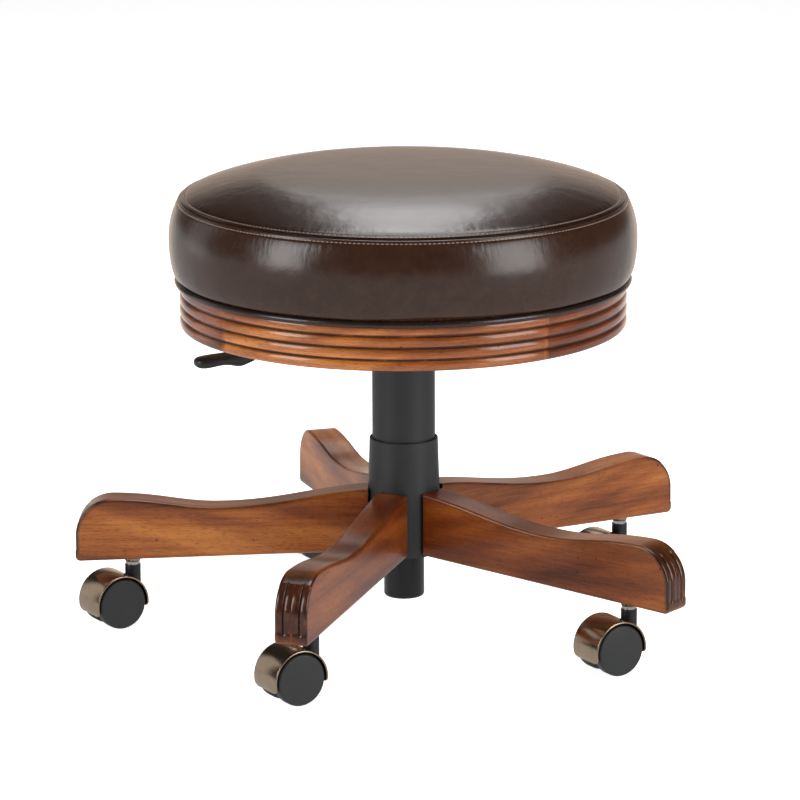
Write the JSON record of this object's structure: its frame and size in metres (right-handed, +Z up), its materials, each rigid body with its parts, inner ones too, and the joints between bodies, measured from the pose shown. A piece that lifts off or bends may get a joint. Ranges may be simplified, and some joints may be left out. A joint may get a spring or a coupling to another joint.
{
  "type": "swivel vanity stool",
  "caption": "Low round swivel stool: leather cushion on a reeded wooden apron, gas-lift column with a height lever, and a star base of waisted wooden legs on hooded casters.",
  "frame": {"origin": "on the floor, under the column axis", "axes": "+Z up along the column; one leg points along -X"},
  "size_m": [0.5965, 0.627, 0.4545],
  "materials": {
    "seat_leather": "smooth semi-gloss dark brown leather with soft wrinkles",
    "piping_leather": "dark brown leather-covered cord",
    "leg_wood": "reddish brown walnut stain, satin lacquer, darker burnished edges",
    "apron_wood": "reddish brown walnut stain with dark glaze in the grooves",
    "board_plywood": "bare plywood",
    "foam": "open-cell upholstery foam",
    "black_powder_coat": "satin black powder coat",
    "column_black": "gloss black enamel",
    "bronze": "antique bronze plate, polished on the edges",
    "chrome": "bright chrome plate",
    "steel": "plain ground steel",
    "brass": "plain brass",
    "caster_plastic": "black moulded nylon",
    "wheel_plastic": "dark grey moulded nylon with a fine moulded face",
    "lever_plastic": "black moulded plastic",
    "white_plastic": "natural acetal",
    "rubber": "black rubber"
  },
  "bodies": {
    "base": {"leg_1": "leg_wood", "leg_2": "leg_wood", "leg_3": "leg_wood", "leg_4": "leg_wood", "leg_5": "leg_wood", "caster_sockets": "bronze", "leg_studs": "steel", "leg_inserts": "brass", "hub_shell": "black_powder_coat", "hub_socket": "black_powder_coat", "column_tube": "column_black", "guide_bush": "white_plastic", "lower_race": "steel"},
    "lift_rod": {"piston_rod": "chrome", "piston": "white_plastic", "thrust_bearing": "steel", "rod_clip": "steel", "bump_stop": "rubber"},
    "seat": {"pressure_cylinder": "column_black", "column_cover": "black_powder_coat", "mechanism_plate": "black_powder_coat", "mechanism_housing": "black_powder_coat", "lever_pivot": "steel", "plate_bolts": "steel", "tee_nuts": "steel", "apron_ring": "apron_wood", "apron_screws": "steel", "seat_board": "board_plywood", "piping": "piping_leather", "side_band": "seat_leather", "top_panel": "seat_leather", "foam_pad": "foam"},
    "lever": {"lever_arm": "black_powder_coat", "lever_paddle": "lever_plastic"},
    "valve": {"valve_pin": "steel"},
    "caster_1": {"caster_1_hood": "bronze", "caster_1_body": "caster_plastic", "caster_1_stem_and_axle": "chrome"},
    "caster_1_roller_a": {"caster_1_wheel_a": "wheel_plastic"},
    "caster_1_roller_b": {"caster_1_wheel_b": "wheel_plastic"},
    "caster_2": {"caster_2_hood": "bronze", "caster_2_body": "caster_plastic", "caster_2_stem_and_axle": "chrome"},
    "caster_2_roller_a": {"caster_2_wheel_a": "wheel_plastic"},
    "caster_2_roller_b": {"caster_2_wheel_b": "wheel_plastic"},
    "caster_3": {"caster_3_hood": "bronze", "caster_3_body": "caster_plastic", "caster_3_stem_and_axle": "chrome"},
    "caster_3_roller_a": {"caster_3_wheel_a": "wheel_plastic"},
    "caster_3_roller_b": {"caster_3_wheel_b": "wheel_plastic"},
    "caster_4": {"caster_4_hood": "bronze", "caster_4_body": "caster_plastic", "caster_4_stem_and_axle": "chrome"},
    "caster_4_roller_a": {"caster_4_wheel_a": "wheel_plastic"},
    "caster_4_roller_b": {"caster_4_wheel_b": "wheel_plastic"},
    "caster_5": {"caster_5_hood": "bronze", "caster_5_body": "caster_plastic", "caster_5_stem_and_axle": "chrome"},
    "caster_5_roller_a": {"caster_5_wheel_a": "wheel_plastic"},
    "caster_5_roller_b": {"caster_5_wheel_b": "wheel_plastic"}
  },
  "joints": [
    {"name": "seat_swivel", "type": "hinge", "parent": "base", "child": "lift_rod", "pos_m": [0, 0, 0.04], "axis": [0, 0, 1], "continuous": true},
    {"name": "seat_lift", "type": "slide", "parent": "lift_rod", "child": "seat", "axis": [0, 0, 1], "range_m": [0, 0.1]},
    {"name": "lever_lift", "type": "hinge", "parent": "seat", "child": "lever", "pos_m": [-0.02819, -0.01026, 0.3403], "axis": [-0.342, 0.9397, 0], "range_deg": [0, 5], "stiffness_Nm_per_rad": 4, "springref_deg": -6.88},
    {"name": "valve_press", "type": "slide", "parent": "seat", "child": "valve", "axis": [0, 0, -1], "range_m": [0, 0.0027]},
    {"name": "caster_1_swivel", "type": "hinge", "parent": "base", "child": "caster_1", "pos_m": [0.21795, -0.15835, 0.06], "axis": [0, 0, 1], "continuous": true},
    {"name": "caster_1_roll_a", "type": "hinge", "parent": "caster_1", "child": "caster_1_roller_a", "pos_m": [0.1995, -0.17033, 0.025], "axis": [0.5446, -0.8387, 0], "continuous": true},
    {"name": "caster_1_roll_b", "type": "hinge", "parent": "caster_1", "child": "caster_1_roller_b", "pos_m": [0.1995, -0.17033, 0.025], "axis": [0.5446, -0.8387, 0], "continuous": true},
    {"name": "caster_2_swivel", "type": "hinge", "parent": "base", "child": "caster_2", "pos_m": [0.21795, 0.15835, 0.06], "axis": [0, 0, 1], "continuous": true},
    {"name": "caster_2_roll_a", "type": "hinge", "parent": "caster_2", "child": "caster_2_roller_a", "pos_m": [0.1995, 0.14637, 0.025], "axis": [0.5446, -0.8387, 0], "continuous": true},
    {"name": "caster_2_roll_b", "type": "hinge", "parent": "caster_2", "child": "caster_2_roller_b", "pos_m": [0.1995, 0.14637, 0.025], "axis": [0.5446, -0.8387, 0], "continuous": true},
    {"name": "caster_3_swivel", "type": "hinge", "parent": "base", "child": "caster_3", "pos_m": [-0.08325, 0.25622, 0.06], "axis": [0, 0, 1], "continuous": true},
    {"name": "caster_3_roll_a", "type": "hinge", "parent": "caster_3", "child": "caster_3_roller_a", "pos_m": [-0.1017, 0.24423, 0.025], "axis": [0.5446, -0.8387, 0], "continuous": true},
    {"name": "caster_3_roll_b", "type": "hinge", "parent": "caster_3", "child": "caster_3_roller_b", "pos_m": [-0.1017, 0.24423, 0.025], "axis": [0.5446, -0.8387, 0], "continuous": true},
    {"name": "caster_4_swivel", "type": "hinge", "parent": "base", "child": "caster_4", "pos_m": [-0.2694, 0, 0.06], "axis": [0, 0, 1], "continuous": true},
    {"name": "caster_4_roll_a", "type": "hinge", "parent": "caster_4", "child": "caster_4_roller_a", "pos_m": [-0.28785, -0.01198, 0.025], "axis": [0.5446, -0.8387, 0], "continuous": true},
    {"name": "caster_4_roll_b", "type": "hinge", "parent": "caster_4", "child": "caster_4_roller_b", "pos_m": [-0.28785, -0.01198, 0.025], "axis": [0.5446, -0.8387, 0], "continuous": true},
    {"name": "caster_5_swivel", "type": "hinge", "parent": "base", "child": "caster_5", "pos_m": [-0.08325, -0.25622, 0.06], "axis": [0, 0, 1], "continuous": true},
    {"name": "caster_5_roll_a", "type": "hinge", "parent": "caster_5", "child": "caster_5_roller_a", "pos_m": [-0.1017, -0.2682, 0.025], "axis": [0.5446, -0.8387, 0], "continuous": true},
    {"name": "caster_5_roll_b", "type": "hinge", "parent": "caster_5", "child": "caster_5_roller_b", "pos_m": [-0.1017, -0.2682, 0.025], "axis": [0.5446, -0.8387, 0], "continuous": true}
  ],
  "couplings": [
    {"joint": "valve_press", "follows": "lever_lift", "m_per_rad": 0.03}
  ]
}
